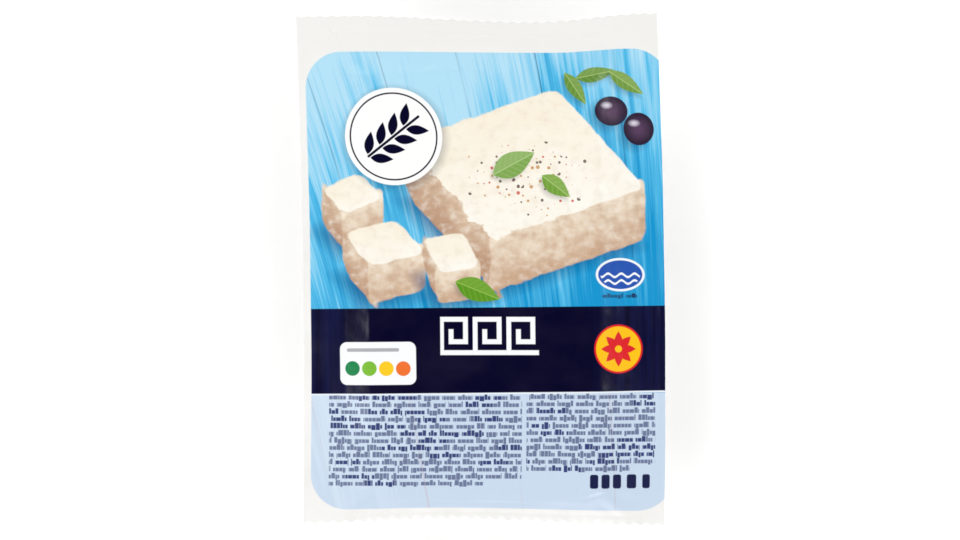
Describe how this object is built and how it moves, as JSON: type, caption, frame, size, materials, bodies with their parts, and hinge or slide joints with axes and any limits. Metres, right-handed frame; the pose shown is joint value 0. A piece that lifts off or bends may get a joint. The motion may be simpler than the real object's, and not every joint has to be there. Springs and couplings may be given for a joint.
{
  "type": "sealed film pack of feta cheese",
  "caption": "Flat sealed film pack round a block of feta, with a printed face, a wide flat brim and toothed cuts at both ends.",
  "frame": {"origin": "middle of the pack's box, on the plane that its back rests on", "axes": "+Z out of the printed face, +Y towards the print's upper end, +X to the print's right"},
  "size_m": [0.1158, 0.1608, 0.0208],
  "materials": {
    "film": "satin printed plastic film"
  },
  "bodies": {
    "root": {"pack": "film"}
  },
  "joints": []
}
